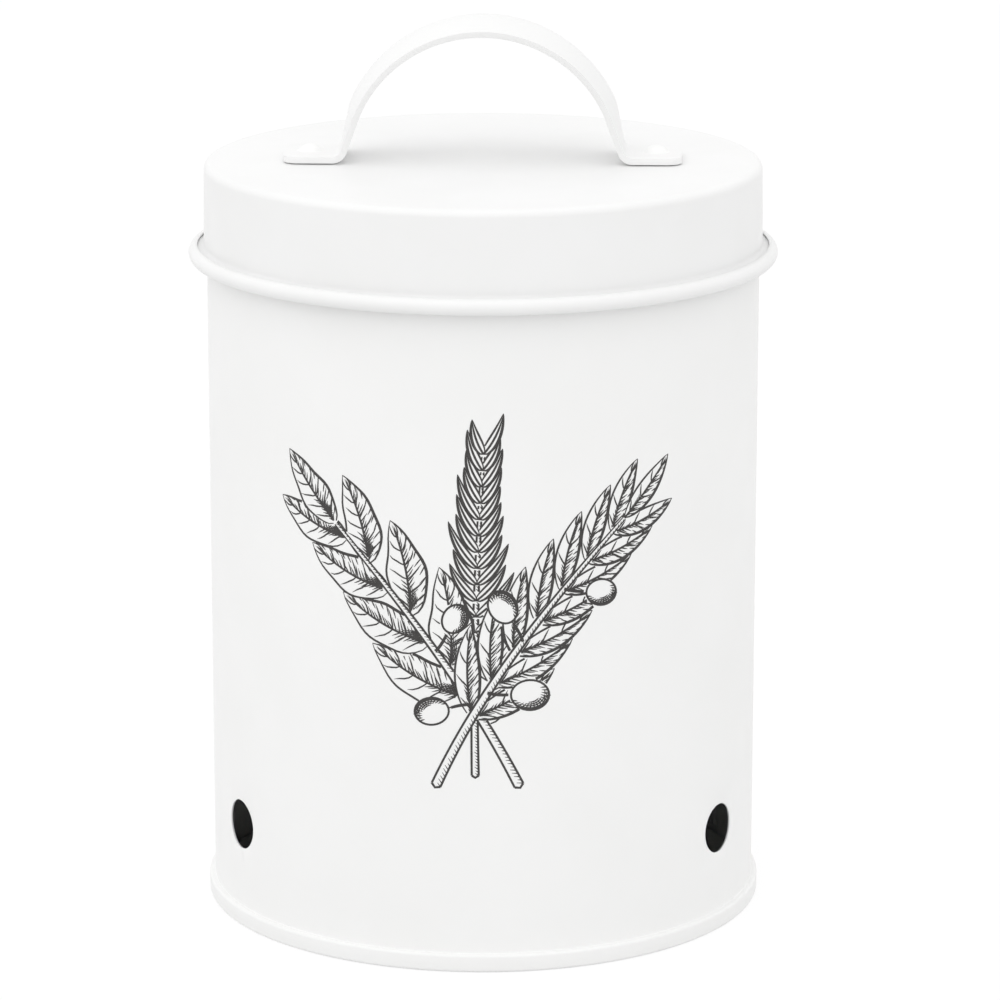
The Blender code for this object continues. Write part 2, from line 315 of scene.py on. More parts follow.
def rule_tree(name, sockets):
    """A tree that makes geometry from geometry and the given sockets, and its inputs."""
    tree = bpy.data.node_groups.new(name, "GeometryNodeTree")
    tree.is_modifier = True
    for label, kind in (("Geometry", "Geometry"), *sockets):
        tree.interface.new_socket(label, in_out="INPUT", socket_type=f"NodeSocket{kind}")
    tree.interface.new_socket("Geometry", in_out="OUTPUT", socket_type="NodeSocketGeometry")
    return tree, tree.nodes.new("NodeGroupInput").outputs


def painted(tree, geometry, coat):
    """End a tree in its geometry, made real and coated."""
    real = add_node(tree, "GeometryNodeRealizeInstances", {"Geometry": geometry})
    paint = add_node(tree, "GeometryNodeSetMaterial", {"Geometry": real, "Material": coat})
    fill(tree, tree.nodes.new("NodeGroupOutput"), {"Geometry": paint})
    return tree


def swung(tree, vector, angle):
    """A vector turned about the Z axis."""
    swing = tree.nodes.new("ShaderNodeVectorRotate")
    swing.rotation_type = "Z_AXIS"
    fill(tree, swing, {"Vector": vector, "Angle": angle})
    return swing.outputs["Vector"]


def turning_rule():
    """Node tree that turns an outline once round the Z axis, as on a spinning lathe."""
    sockets = (("Flats around", "Int"), ("Weld distance", "Float"), ("Coat", "Material"))
    tree, given = rule_tree("turn_outline", sockets)
    outline, flats = given["Geometry"], given["Flats around"]

    def whole(operation, *values):
        return worked_out(tree, operation, *values, kind="FunctionNodeIntegerMath")

    count = add_node(tree, "GeometryNodeAttributeDomainSize", {"Geometry": outline}, "Point Count")
    columns = whole("ADD", flats, 1)
    corners = {"Vertices X": whole("ADD", count, 1), "Vertices Y": columns}
    grid = add_node(tree, "GeometryNodeMeshGrid", corners, "Mesh")
    index = add_node(tree, "GeometryNodeInputIndex", {})
    row = whole("MODULO", whole("DIVIDE", index, columns), count)
    sample = tree.nodes.new("GeometryNodeSampleIndex")
    sample.data_type = "FLOAT_VECTOR"
    sample.domain = "POINT"
    position = add_node(tree, "GeometryNodeInputPosition", {})
    fill(tree, sample, {"Geometry": outline, "Value": position, "Index": row})
    turn = worked_out(tree, "DIVIDE", whole("MODULO", index, columns), flats)
    swing = swung(tree, sample.outputs["Value"], worked_out(tree, "MULTIPLY", turn, math.tau))
    place = add_node(tree, "GeometryNodeSetPosition", {"Geometry": grid, "Position": swing})
    weld = {"Geometry": place, "Distance": given["Weld distance"]}
    return painted(tree, add_node(tree, "GeometryNodeMergeByDistance", weld), given["Coat"])


turn_outline = turning_rule()


def settled(item):
    """Give an object the mesh that its modifiers make, closed and facing outwards, and drop them."""
    view_layer = bpy.context.view_layer
    view_layer.update()
    seen = item.evaluated_get(bpy.context.evaluated_depsgraph_get())
    mesh = bpy.data.meshes.new_from_object(seen)
    item.modifiers.clear()
    item.data = mesh
    mesh.name = item.name
    shape = bmesh.new()
    shape.from_mesh(mesh)
    bmesh.ops.remove_doubles(shape, verts=shape.verts, dist=weld_distance)
    bmesh.ops.dissolve_degenerate(shape, edges=shape.edges, dist=weld_distance)
    bmesh.ops.delete(shape, geom=[e for e in shape.edges if not e.link_faces], context="EDGES")
    bmesh.ops.delete(shape, geom=[v for v in shape.verts if not v.link_faces], context="VERTS")
    bmesh.ops.recalc_face_normals(shape, faces=shape.faces)
    shape.to_mesh(mesh)
    shape.free()
    mesh.shade_smooth()
    mesh.set_sharp_from_angle(angle=smooth_limit)
    return item


def ruled(item, tree, inputs):
    """Give an object what a node tree makes of it and of the inputs."""
    rule = item.modifiers.new(tree.name, "NODES")
    rule.node_group = tree
    for socket in tree.interface.items_tree:
        if socket.item_type == "SOCKET" and socket.in_out == "INPUT" and socket.name in inputs:
            rule[socket.identifier] = inputs[socket.name]
    return settled(item)


def turned(name, outline, coat, height=0.0, flats=flats_around):
    """A piece turned from a closed outline of (radius, height) points."""
    mesh = bpy.data.meshes.new(name)
    mesh.from_pydata([(r, 0.0, z + height) for r, z in outline], [], [])
    inputs = {"Flats around": flats, "Weld distance": weld_distance, "Coat": coat}
    return ruled(placed(name, mesh), turn_outline, inputs)


def item_from(name, shape):
    """An object made from a bmesh shape, with its faces turned outwards."""
    mesh = bpy.data.meshes.new(name)
    bmesh.ops.recalc_face_normals(shape, faces=shape.faces)
    shape.to_mesh(mesh)
    shape.free()
    return placed(name, mesh)


def round_punch(name, radius, length, facets, placing):
    """A round cutter along its own Z axis."""
    shape = bmesh.new()
    bmesh.ops.create_cone(
        shape, cap_ends=True, segments=facets, radius1=radius, radius2=radius, depth=length, matrix=placing
    )
    return item_from(name, shape)


def rounded(item, width, steps):
    """Round an object's sharp edges."""
    soften = item.modifiers.new("rounding", "BEVEL")
    soften.width = width
    soften.segments = steps
    soften.limit_method = "ANGLE"
    soften.angle_limit = rounding_limit


def worked(item, tools, rounding=0.0, rounding_steps=1):
    """Join or cut a piece with its tools, in turn, round its sharp edges, and drop the tools."""
    for tool, operation in tools:
        step = item.modifiers.new(tool.name, "BOOLEAN")
        step.object = tool
        step.operation = operation
        step.solver = "EXACT"
    if rounding:
        rounded(item, rounding, rounding_steps)
    settled(item)
    for tool, _ in tools:
        bpy.data.objects.remove(tool, do_unlink=True)
    return item


def wall_path():
    """Middle of the wall's sheet: hook in the chime, straight wall, mouth and hem."""
    wall = body_radius - sheet / 2
    hook_top = chime_height - chime_lip_bend - sheet / 2 - fit_gap
    path = [(wall + 2 * fold, hook_top)]
    path += arc((wall + fold, sheet + fit_gap + fold + sheet / 2), fold, 0.0, -math.pi)
    path += [(wall, vent_height - 2 * vent_radius), (wall, vent_height + 2 * vent_radius)]
    path += [(wall, wall_height - mouth_depth)]
    path += arc(rim_centre, fold, 0.0, math.pi)
    path += [(rim_centre[0] - fold, wall_height - rim_hem)]
    return path


def seam_fold():
    """The folded seam: the two ends of the sheet hooked together and pressed flat on the inside."""
    low = pan_floor + seam_clearance
    mouth = wall_height - mouth_depth
    high = wall_height - rim_hem - seam_clearance
    closing = mouth_draft * (high - mouth) / (rim_centre[1] - mouth)
    spread = seam_width / body_radius
    first = seam_bearing - spread / 2
    angles = [first + spread * step / seam_steps for step in range(seam_steps + 1)]
    shape = bmesh.new()
    layers = []
    for height, shift in ((low, 0.0), (mouth, 0.0), (high, closing)):
        inner = wall_inside_radius - 2 * sheet - shift
        outer = wall_inside_radius + sheet / 2 - shift
        corners = [(inner, a) for a in angles] + [(outer, a) for a in reversed(angles)]
        layers.append([shape.verts.new((r * math.sin(a), -r * math.cos(a), height)) for r, a in corners])
    for below, above in zip(layers, layers[1:]):
        for index in range(len(below)):
            shape.faces.new((below[index - 1], below[index], above[index], above[index - 1]))
    shape.faces.new(layers[0])
    shape.faces.new(layers[-1])
    return item_from("seam_fold", shape)


canister_coat = powder_coat("canister_coat", coat_white)
body_wall = turned("canister_wall", sheet_outline(wall_path(), sheet), canister_coat)
wall_tools = [(seam_fold(), "UNION")]
for number in range(vent_count):
    bearing = vent_first + vent_spread * number
    outward = Vector((math.sin(bearing), -math.cos(bearing), 0.0))
    middle = outward * (body_radius - sheet / 2) + Vector((0.0, 0.0, vent_height))
    placing = Matrix.Translation(middle) @ outward.to_track_quat("Z", "Y").to_matrix().to_4x4()
    through = sheet + 2 * cut_overrun
    punch = round_punch(f"vent_punch_{number + 1}", vent_radius, through, vent_facets, placing)
    wall_tools.append((punch, "DIFFERENCE"))
worked(body_wall, wall_tools, vent_rounding, vent_rounding_steps)
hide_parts("body_wall")
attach(body_wall, "canister")

# Print
# A line drawing of kitchen herbs, printed in black ink on the front of the wall once it was coated. It is
# laid out flat here, X along the wall and Y up, and then wrapped round it with the thickness of the ink.
print_middle = 0.0872           # height of the drawing's middle on the wall
print_turn = math.radians(0.4)
ink_height = 0.00004
ink_sink = 0.00003
ink_black = (0.036, 0.034, 0.033)
ink_pale_share = 1.7            # how much paler than black the thinnest ink is
ink_ior = 1.45
ink_roughness = (0.48, 0.66)
ink_grain_scale = 900.0
ink_grain_detail = 3.0
ink_grain_edges = (0.3, 0.75)
ink_relief = 0.3
ink_relief_depth = 0.000006
edge_pen = 0.00028              # half widths of the strokes
vein_pen = 0.00018
hatch_pen = 0.00015
pen_swell = 0.7                 # power that rounds a stroke's swelling
dark_edge_share = 1.25          # the pen's share of its width on a leaf's dark and light edges
light_edge_share = 0.85
midrib_share = 1.4
stalk_share = 1.3
hatch_pitch = 0.00094
hide_step = 0.0006              # how finely a stroke is cut where a leaf in front hides it
leaf_steps = 14
edge_steps = 18
rim_steps = 30
leaf_round = 0.85               # power that fills a leaf out
leaf_waves = 2.2
midrib_end = 0.95
vein_first = 0.10               # where veins start along a leaf, how far on they end, and how they bow
vein_span = 0.72
vein_lean = 0.13
vein_bow = 1.3
vein_steps = 4
hatch_first = 0.04
hatch_span = 0.86
base_shade_end = 0.34           # the foot of a leaf is hatched on both halves up to here
vein_reach = (0.90, -0.08)      # a share and the most that the hand adds to it, as in the next six
hatch_lean = (0.07, 0.02)
hatch_reach = (0.30, 0.34)
edge_hatch_start = (0.50, 0.22)
light_hatch_reach = (0.20, 0.20)
stem_hatch_reach = (0.7, 0.5)
needle_growth = (0.85, 0.30)
crossed_hatches = 5
berry_hatches = 15
berry_hatch_turn = math.radians(190)
berry_rings = 4
berry_rays = 5
berry_dark = math.radians(-60)
berry_edge_shares = (0.85, 0.45)        # the pen's share on the edge, and how much more on the dark side
berry_hatch_shares = (0.22, 0.24, 0.06) # depth, how much more on the dark side, and what the hand adds
berry_hatch_start = 0.97
berry_hatch_lean = math.radians(10)
berry_ring_reach = (78, 14)             # degrees to each side, and how much less from ring to ring
berry_ring_shares = (0.88, 0.13)        # how far out, and how much less from ring to ring
berry_tip_share = 0.80
berry_ray_share = 0.15
berry_ray_turns = (-100, 50)            # degrees of the first ray, and from ray to ray
stalk_length = 0.0058
stalk_turn = 0.4
berry_width = 0.0070
berry_length = 0.0088
berry_reach = 0.0040            # from the end of its stalk to its middle
# Stems: where each starts, its heading, length and turn, and the steps that it is drawn in
needled_stem = (complex(-0.0005, -0.0400), math.radians(91), 0.0770, math.radians(-5), 36)
broad_stem = (complex(0.0095, -0.0425), math.radians(116), 0.0740, math.radians(20), 28)
narrow_stem = (complex(-0.0095, -0.0425), math.radians(66), 0.0760, math.radians(-24), 28)
needled_halves = (0.0008, 0.0003)       # half widths of a stem at its foot and at its tip
leafy_halves = (0.0011, 0.0004)
# Leaves: in how many places, and from which share of the stem over which span. Their lean in degrees, length
# and width are each given at the stem's foot, with how much less it is at the tip.
needles = {"count": 14, "first": 0.34, "span": 0.64, "sizes": ((70, 34), (0.0150, 0.0060), (0.0021, 0.0))}
broad_leaves = {"count": 8, "first": 0.22, "span": 0.72, "sizes": ((46, 10), (0.0280, 0.0080), (0.0110, 0.0030))}
narrow_leaves = {"count": 7, "first": 0.24, "span": 0.70, "sizes": ((42, 8), (0.0235, 0.0060), (0.0060, 0.0012))}
needle_bend = math.radians(30)
broad_bend = math.radians(26)
narrow_bend = math.radians(20)
broad_tip = (0.0205, 0.0078, math.radians(-10))     # length, width and bend of the leaf at the stem's tip
narrow_tip = (0.0180, 0.0048, math.radians(10))
needle_form = (0.6, 0, 0.0)     # belly, veins and wave
narrow_form = (0.85, 4, 0.0)
# Berries: the share of the stem where each hangs, its aim in degrees, and its size
narrow_berries = ((0.33, -62, 1.0), (0.52, 66, 0.9), (0.72, -58, 0.85))
broad_berries = ((0.30, 70, 0.9), (0.50, -66, 0.8))
hand = random.Random(29)        # the small unevenness of a hand
drawn = []                      # the drawn shapes from back to front, each its edge and its strokes


def uneven(share, more):
    """A share as a hand would have it, with up to so much more."""
    return share + more * hand.random()


def swept(start, heading, length, turn, steps):
    """Points along a stroke whose heading turns evenly from its start to its end."""
    points = [start]
    for step in range(steps):
        points.append(points[-1] + cmath.rect(length / steps, heading + turn * (step + 0.5) / steps))
    return points


def between(start, end, share):
    """What lies at a share of the way from start to end, for numbers and points alike."""
    return start + (end - start) * share


def straight(start, end, steps=2):
    """Points along a straight stroke."""
    return [between(start, end, step / steps) for step in range(steps + 1)]


def pressed(points, pen, start_share=0.35, end_share=0.25):
    """A stroke with the pen pressed hardest along its middle: its points and its half widths."""
    halves = []
    for index in range(len(points)):
        along = index / (len(points) - 1)
        least = start_share if along < 0.5 else end_share
        halves.append(pen * (least + (1 - least) * math.sin(math.pi * along) ** pen_swell))
    return points, halves


def faded(points, pen=hatch_pen):
    """A stroke that starts full and lifts off at its end."""
    return pressed(points, pen, 0.9, 0.2)


def draw_leaf(base, heading, length, width, turn, dark, belly=0.75, veins=6, wave=0.03):
    """A leaf on its own curved midrib: edge, veins and hatching. Its dark half is 1 or -1."""
    midrib = swept(base, heading, length, turn, leaf_steps)
    phase = hand.random() * math.tau

    def on_leaf(along, across):
        """A point by its share along the midrib and its share of the way out to an edge."""
        along = min(max(along, 0.0), 1.0)
        place = along * leaf_steps
        index = min(int(place), leaf_steps - 1)
        point = between(midrib[index], midrib[index + 1], place - index)
        half = width / 2 * max(0.0, math.sin(math.pi * along ** belly)) ** leaf_round
        ripple = math.sin(math.tau * (leaf_waves * along + across) + phase)
        half += width * wave * ripple * math.sin(math.pi * along)
        return point + cmath.rect(half * across, heading + turn * along + math.pi / 2)

    def run(start, end, steps=2):
        """A stroke between two such places on the leaf."""
        points = []
        for step in range(steps + 1):
            along, across = (between(near, far, step / steps) for near, far in zip(start, end))
            points.append(on_leaf(along, across))
        return points

    upper = run((0.0, 1.0), (1.0, 1.0), edge_steps)
    lower = run((0.0, -1.0), (1.0, -1.0), edge_steps)
    strokes = [
        pressed(upper, edge_pen * (dark_edge_share if dark > 0 else light_edge_share)),
        pressed(lower, edge_pen * (dark_edge_share if dark < 0 else light_edge_share)),
        pressed(run((0.0, 0.0), (midrib_end, 0.0), 12), vein_pen * midrib_share, 0.9, 0.1),
    ]
    for number in range(veins):
        start = vein_first + vein_span * number / (veins - 1)
        for side in (-1, 1):
            reach = side * uneven(*vein_reach)
            shares = [step / vein_steps for step in range(vein_steps + 1)]
            bent = [on_leaf(start + vein_lean * share ** vein_bow, reach * share) for share in shares]
            strokes.append(pressed(bent, vein_pen, 0.8, 0.15))
    hatches = int(length * 0.9 / hatch_pitch) if veins else 0
    for number in range(hatches):
        start = hatch_first + hatch_span * number / hatches
        lean = uneven(*hatch_lean)
        reach = uneven(*hatch_reach) * (1.15 - 0.5 * start)
        strokes.append(faded(run((start, 0.03 * dark), (start + lean, reach * dark))))
        if number % 2 == 0:
            inner = dark * uneven(*edge_hatch_start)
            from_edge = run((start + 0.05, inner), (start + lean + 0.04, 0.96 * dark))
            strokes.append(pressed(from_edge, hatch_pen, 0.3, 0.8))
        if start < base_shade_end:
            light = -dark * uneven(*light_hatch_reach)
            strokes.append(faded(run((start, -0.03 * dark), (start + 0.8 * lean, light))))
    if veins > 4:
        for number in range(crossed_hatches):
            across = dark * (0.10 + 0.09 * number)
            crossing = run((0.05 + 0.02 * number, across), (0.35 - 0.035 * number, across), 4)
            strokes.append(pressed(crossing, hatch_pen, 0.6, 0.2))
    drawn.append((upper + lower[::-1], strokes))


def draw_berry(middle, across, along, heading, dark):
    """A berry: a round edge, short strokes and rings on its dark side, and a small star at its tip."""
    def on_berry(angle, share):
        """A point by its angle from the tip and its share of the way out to the edge."""
        out = complex(along / 2 * math.cos(angle), across / 2 * math.sin(angle))
        return middle + cmath.rect(share, heading) * out

    around = [math.tau * step / rim_steps for step in range(rim_steps + 1)]
    rim = [on_berry(angle, 1.0) for angle in around]
    least, more = berry_edge_shares
    strokes = [(rim, [edge_pen * (least + more * max(0.0, math.cos(angle - dark))) for angle in around])]
    depth, deeper, by_hand = berry_hatch_shares
    for number in range(berry_hatches):
        angle = dark + berry_hatch_turn * (number / (berry_hatches - 1) - 0.5)
        inwards = uneven(depth + deeper * math.cos(angle - dark), by_hand)
        inner = on_berry(angle + berry_hatch_lean, berry_hatch_start - inwards)
        strokes.append(faded(straight(on_berry(angle, berry_hatch_start), inner)))
    for number in range(berry_rings):
        spread = math.radians(berry_ring_reach[0] - berry_ring_reach[1] * number)
        share = berry_ring_shares[0] - berry_ring_shares[1] * number
        ring = [on_berry(angle, share) for angle in straight(dark - spread, dark + spread, 8)]
        strokes.append(pressed(ring, hatch_pen, 0.3, 0.3))
    tip = on_berry(0.0, berry_tip_share)
    for number in range(berry_rays):
        aim = math.radians(berry_ray_turns[0] + berry_ray_turns[1] * number)
        ray = cmath.rect(berry_ray_share * along, heading + aim)
        strokes.append(pressed(straight(tip + ray / 5, tip + ray, 1), hatch_pen, 1.0, 0.5))
    drawn.append((rim[:-1], strokes))


def draw_stem(points, start_half, end_half):
    """A stem: two tapering edges, a cut end, and short strokes along its right side."""
    last = len(points) - 1
    left, right = [], []
    for index, point in enumerate(points):
        step = points[min(last, index + 1)] - points[max(0, index - 1)]
        aside = step / abs(step) * 1j * between(start_half, end_half, index / last)
        left.append(point + aside)
        right.append(point - aside)
    strokes = [pressed(side, edge_pen * 0.9, 1.0, 0.5) for side in (left, right)]
    cut = points[0] - (points[1] - points[0]) / 4
    strokes.append(pressed([left[0], cut, right[0]], edge_pen, 1.0, 1.0))
    for index in range(last):
        for share in (0.0, 0.33, 0.66):
            edge = between(right[index], right[index + 1], share)
            inner = between(points[index], points[index + 1], share + 0.25)
            end = between(edge, inner, uneven(*stem_hatch_reach))
            strokes.append(pressed(straight(edge, end, 1), hatch_pen, 0.9, 0.3))
    drawn.append((left + right[::-1], strokes))


def place_on(points, share):
    """A point on a stem and the stem's heading there."""
    place = share * (len(points) - 1)
    index = min(int(place), len(points) - 2)
    near, far = points[index:index + 2]
    return between(near, far, place - index), cmath.phase(far - near)


def hang_berry(points, share, aim, size):
    """A berry on a short stalk from a stem."""
    point, heading = place_on(points, share)
    out = heading + math.radians(aim)
    tip = point + cmath.rect(stalk_length, out)
    stalk = swept(point, out - stalk_turn / 2, stalk_length, stalk_turn, 6)
    drawn.append(([], [pressed(stalk, edge_pen * stalk_share, 1.0, 0.7)]))
    middle = tip + cmath.rect(berry_reach * size, out)
    draw_berry(middle, berry_width * size, berry_length * size, out, berry_dark)


def inside(point, edge):
    """Whether a point lies inside a closed edge."""
    hit = False
    for near, far in zip(edge, edge[1:] + edge[:1]):
        if (near.imag > point.imag) != (far.imag > point.imag):
            share = (point.imag - near.imag) / (far.imag - near.imag)
            if point.real < between(near.real, far.real, share):
                hit = not hit
    return hit


def hidden(point, covers):
    """Whether a point lies behind one of the given edges, each with its box."""
    for edge, (low, high) in covers:
        in_box = low.real < point.real < high.real and low.imag < point.imag < high.imag
        if in_box and inside(point, edge):
            return True
    return False


def refined(stroke):
    """A stroke with points close enough together to be cut where a leaf in front starts."""
    places = list(zip(*stroke))
    fine = places[:1]
    for near, far in zip(places, places[1:]):
        parts = max(1, int(abs(far[0] - near[0]) / hide_step))
        for part in range(1, parts + 1):
            fine.append(tuple(between(a, b, part / parts) for a, b in zip(near, far)))
    return fine


def left_showing(shapes):
    """The strokes of all shapes, without what lies behind a shape drawn later."""
    covers = []
    for edge, _ in shapes:
        ways = [p.real for p in edge], [p.imag for p in edge]
        box = [complex(*(pick(way) for way in ways)) for pick in (min, max)] if edge else None
        covers.append((edge, box))
    showing = []
    for index, (_, strokes) in enumerate(shapes):
        above = [(edge, box) for edge, box in covers[index + 1:] if box]
        for stroke in strokes:
            fine = refined(stroke)
            away = [hidden(point, above) for point, _ in fine]
            if not any(away):
                showing.append(list(zip(*stroke)))
                continue
            piece = []
            for place, gone in zip(fine, away):
                if not gone:
                    piece.append(place)
                elif piece:
                    showing.append(piece)
                    piece = []
            showing.append(piece)
    return [stroke for stroke in showing if len(stroke) > 1]


def leaf_places(stem, leaves):
    """Each leaf's number, where it starts, the stem's heading there, and its lean, length and width."""
    for number in range(leaves["count"]):
        share = leaves["first"] + leaves["span"] * number / (leaves["count"] - 1)
        lean, length, width = (full - less * share for full, less in leaves["sizes"])
        yield (number, *place_on(stem, share), math.radians(lean), length, width)


def draw_herbs():
    """Three sprigs with crossed stems: needles behind, broad leaves, and narrow leaves in front."""
    needled, broad, narrow = (swept(*stem) for stem in (needled_stem, broad_stem, narrow_stem))
    draw_stem(needled, *needled_halves)
    for _, point, heading, lean, length, width in leaf_places(needled, needles):
        for side in (-1, 1):
            grown = length * uneven(*needle_growth)
            draw_leaf(point, heading + side * lean, grown, width, -side * needle_bend, side, *needle_form)
    for number, point, heading, lean, length, width in leaf_places(broad, broad_leaves):
        side = 1 if number % 2 else -1
        draw_leaf(point, heading + side * lean, length, width, -side * broad_bend, -1)
    draw_leaf(*place_on(broad, 1.0), *broad_tip, -1)
    draw_stem(broad, *leafy_halves)
    for _, point, heading, lean, length, width in leaf_places(narrow, narrow_leaves):
        for side in (-1, 1):
            draw_leaf(point, heading + side * lean, length, width, -side * narrow_bend, -1, *narrow_form)
    draw_leaf(*place_on(narrow, 1.0), *narrow_tip, -1, *narrow_form)
    draw_stem(narrow, *leafy_halves)
    for stem, berries in ((narrow, narrow_berries), (broad, broad_berries)):
        for share, aim, size in berries:
            hang_berry(stem, share, aim, size)


def wrapping_rule():
    """Node tree that inks flat strokes, each as wide as its pen, and wraps them round the wall."""
    sizes = [(name, "Float") for name in ("Wall radius", "Ink height", "Ink sink", "Turn", "Middle")]
    tree, given = rule_tree("wrap_print", (*sizes, ("Ink", "Material")))
    radius, sink = given["Wall radius"], given["Ink sink"]
    strokes = add_node(tree, "GeometryNodeMeshToCurve", {"Mesh": given["Geometry"]})
    pen = tree.nodes.new("GeometryNodeInputNamedAttribute")
    pen.data_type = "FLOAT"
    fill(tree, pen, {"Name": "pen_half"})
    half = pen.outputs["Attribute"]
    curve = add_node(tree, "GeometryNodeSetCurveRadius", {"Curve": strokes, "Radius": half})
    # The nib reaches one to each side, which each stroke's own half width then scales.
    nib = add_node(tree, "GeometryNodeCurvePrimitiveQuadrilateral", {"Width": 2.0, "Height": 2.0})
    ribbon = tree.nodes.new("GeometryNodeCurveToMesh")
    fill(tree, ribbon, {"Curve": curve, "Profile Curve": nib, "Fill Caps": True})
    if "Scale" in ribbon.inputs:
        fill(tree, ribbon, {"Scale": half})
    parts = tree.nodes.new("ShaderNodeSeparateXYZ")
    fill(tree, parts, {0: add_node(tree, "GeometryNodeInputPosition", {})})
    x, y, z = (parts.outputs[axis] for axis in "XYZ")
    through = worked_out(tree, "ADD", given["Ink height"], sink)
    raised = worked_out(tree, "MULTIPLY", worked_out(tree, "GREATER_THAN", z, 0.0), through)
    reach = worked_out(tree, "ADD", radius, worked_out(tree, "SUBTRACT", raised, sink))
    height = worked_out(tree, "ADD", y, given["Middle"])
    flat = {"Y": worked_out(tree, "MULTIPLY", reach, -1.0), "Z": height}
    angle = worked_out(tree, "ADD", worked_out(tree, "DIVIDE", x, radius), given["Turn"])
    swing = swung(tree, add_node(tree, "ShaderNodeCombineXYZ", flat), angle)
    wrap = {"Geometry": ribbon.outputs["Mesh"], "Position": swing}
    return painted(tree, add_node(tree, "GeometryNodeSetPosition", wrap), given["Ink"])


def printing_ink(name):
    """Black matt printing ink, a little uneven in depth and gloss."""
    ink, tree, place = new_material(name)
    grain = noise(tree, place, ink_grain_scale, ink_grain_detail)
    pale = [ink_pale_share * part for part in ink_black]
    fill(tree, tree.nodes["Principled BSDF"], {
        "IOR": ink_ior,
        "Base Color": tinted(tree, grain, ink_grain_edges, (ink_black, pale)),
        "Roughness": ranged(tree, grain, *ink_roughness),
        "Normal": bumped(tree, grain, ink_relief, ink_relief_depth),
    })
    return ink


draw_herbs()
stroke_points, stroke_edges, stroke_halves = [], [], []
for stroke in left_showing(drawn):
    for index, (point, half) in enumerate(stroke):
        if index:
            stroke_edges.append((len(stroke_points) - 1, len(stroke_points)))
        stroke_points.append((point.real, point.imag, 0.0))
        stroke_halves.append(half)
print_mesh = bpy.data.meshes.new("print_of_herbs")
print_mesh.from_pydata(stroke_points, stroke_edges, [])
print_mesh.attributes.new("pen_half", "FLOAT", "POINT").data.foreach_set("value", stroke_halves)
wall_print = placed("print_of_herbs", print_mesh)
ruled(wall_print, wrapping_rule(), {
    "Wall radius": body_radius,
    "Ink height": ink_height,
    "Ink sink": ink_sink,
    "Turn": print_turn,
    "Middle": print_middle,
    "Ink": printing_ink("print_ink"),
})
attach(wall_print, "canister")

# Base
# A pan pressed from one disc of the same steel, with a stiffening step round its middle. Its rim is folded
# up round the hooked foot of the wall as a chime, and the canister stands on the narrow ring under it.
chime_bend = 0.0006
base_bend = 0.0012
panel_radius = 0.0520
panel_step = 0.0009
panel_slope = math.radians(35)
chime_radius = body_radius + 2 * (fit_gap + sheet)
coat_fillet = 0.00025           # where the coating runs from the wall on to the lip of the chime
coat_overlap = 0.00008          # how far that coating reaches into the wall's own skin


def pan_path():
    """Middle of the base's sheet: raised panel, step, riser, foot of the chime and its lip."""
    riser = body_radius - sheet - fit_gap - sheet / 2
    skin = chime_radius - sheet / 2
    floor = base_recess + sheet / 2
    step_bend = panel_step / 2 / (1 - math.cos(panel_slope))
    step_run = step_bend * math.sin(panel_slope)
    quarter = math.pi / 2
    path = [(0.0, floor + panel_step)]
    path += arc(
        (panel_radius - step_run, floor + panel_step - step_bend), step_bend, quarter, quarter - panel_slope
    )
    path += arc(
        (panel_radius + step_run, floor + step_bend), step_bend, -quarter - panel_slope, -quarter
    )[1:]
    path += arc((riser - base_bend, floor - base_bend), base_bend, quarter, 0.0)
    path += arc((riser + chime_bend, sheet / 2 + chime_bend), chime_bend, -math.pi, -quarter)
    path += arc((skin - chime_bend, sheet / 2 + chime_bend), chime_bend, -quarter, 0.0)
    lip_centre = (skin - chime_lip_bend, chime_height - sheet / 2 - chime_lip_bend)
    path += arc(lip_centre, chime_lip_bend, 0.0, quarter)
    return path


def pan_outline():
    """The base's outline, with its lip carried on to the wall by the coating."""
    path = pan_path()
    outline = sheet_outline(path, sheet)
    in_wall = body_radius - coat_overlap
    hollow = (body_radius + coat_fillet, chime_height + coat_fillet)
    closing = [(in_wall, chime_height - sheet), (in_wall, chime_height + coat_fillet)]
    closing += arc(hollow, coat_fillet, math.pi, 1.5 * math.pi)
    return outline[:len(path)] + closing + outline[len(path):]


base_coat = powder_coat("base_coat", coat_white)
base_pan = turned("base_of_canister", pan_outline(), base_coat)
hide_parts("base_pan")
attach(base_pan, "canister")

# Lid
# Drawn from one disc of steel: a flat top, a softly rounded edge and a straight skirt that slips over the
# mouth. The skirt's foot sweeps out to a narrow ledge and rolls down, out and up into a curl round it.
lid_height = 0.0233
lid_edge = 0.0018
lid_draft = 0.00025
slip_clearance = 0.0003
curl_radius = 0.00185
curl_offset = 0.00175
curl_heel = 0.00035
curl_end = math.radians(95)
ledge_bend = 0.00175
ledge_fold = 0.00035
lid_radius = body_radius + slip_clearance + sheet
lid_top_radius = lid_radius - lid_draft
lid_corner = (lid_top_radius - lid_edge, lid_height - lid_edge)
curl_centre = (lid_radius + curl_offset, curl_radius)
corner_reach = lid_edge - sheet - fit_gap - rim_radius
corner_rise = math.sqrt(corner_reach ** 2 - (rim_centre[0] - lid_corner[0]) ** 2)
lid_seat = rim_centre[1] - corner_rise - lid_corner[1]
rivet_reach = 0.0405
rivet_shank_radius = 0.0015
strap_thickness = 0.0015
rivet_facets = 48
# painted shade: the lid's white is the canister's own coat made a little darker, standing for the light that
# falls less brightly on its skirt and top
lid_shaded_white = (0.868, 0.868, 0.866)


